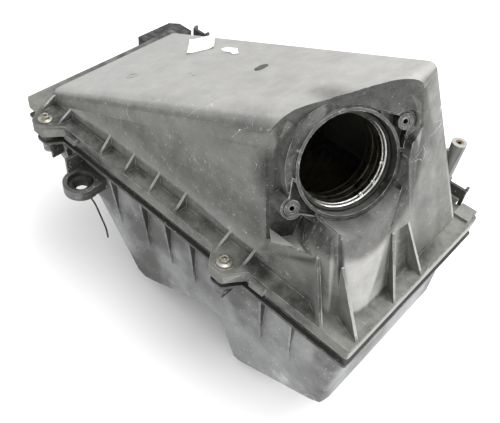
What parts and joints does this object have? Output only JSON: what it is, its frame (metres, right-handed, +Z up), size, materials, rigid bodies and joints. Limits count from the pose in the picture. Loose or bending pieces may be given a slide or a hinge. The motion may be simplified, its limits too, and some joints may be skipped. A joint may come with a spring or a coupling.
{
  "type": "air filter housing",
  "caption": "Wedge-shaped engine air filter box: hinged cover with an oblique round outlet port, deep two-lobed lower housing, pleated panel filter, side inlet duct and screw-down ears.",
  "frame": {"origin": "bottom centre of the whole part, between its feet, with the cover closed", "axes": "+X along the housing to the outlet end, +Y to the hinge side, +Z up"},
  "size_m": [0.4318, 0.2524, 0.3303],
  "materials": {
    "cover_plastic": "moulded, fine grain, dusty and scratched",
    "housing_plastic": "moulded, fine grain, dusty",
    "inlet_plastic": "moulded, matt",
    "seal_foam": "soft cast foam",
    "filter_paper": "pleated resin-treated paper",
    "steel": "zinc plated, dull",
    "brass": "turned, tarnished",
    "rubber": "moulded, matt",
    "label": "blank paper film"
  },
  "bodies": {
    "housing": {"lower_housing": "housing_plastic", "filter_seal_frame": "seal_foam", "filter_media": "filter_paper", "boss_insert_1": "brass", "boss_insert_2": "brass", "mount_grommet": "rubber", "inlet_duct": "inlet_plastic", "inlet_seal": "rubber", "rubber_foot_1": "rubber", "rubber_foot_2": "rubber", "rubber_foot_3": "rubber", "rubber_foot_4": "rubber", "drain_valve": "rubber"},
    "cover": {"upper_cover": "cover_plastic", "screw_sleeve_1": "steel", "screw_sleeve_2": "steel", "side_boss_insert": "brass", "port_liner": "steel", "port_seal": "rubber", "port_insert_upper": "steel", "port_insert_lower": "steel", "blank_label": "label", "torn_label": "label"},
    "screw_1": {"cover_screw_1": "steel"},
    "screw_2": {"cover_screw_2": "steel"}
  },
  "joints": [
    {"name": "cover_hinge", "type": "hinge", "parent": "housing", "child": "cover", "pos_m": [0.0161, 0.1082, 0.1705], "axis": [-1, 0, 0], "range_deg": [0, 55]},
    {"name": "screw_1_turn", "type": "hinge", "parent": "cover", "child": "screw_1", "pos_m": [-0.1532, -0.1033, 0.1726], "axis": [0, 0, 1], "continuous": true},
    {"name": "screw_2_turn", "type": "hinge", "parent": "cover", "child": "screw_2", "pos_m": [0.0911, -0.1033, 0.1726], "axis": [0, 0, 1], "continuous": true}
  ]
}
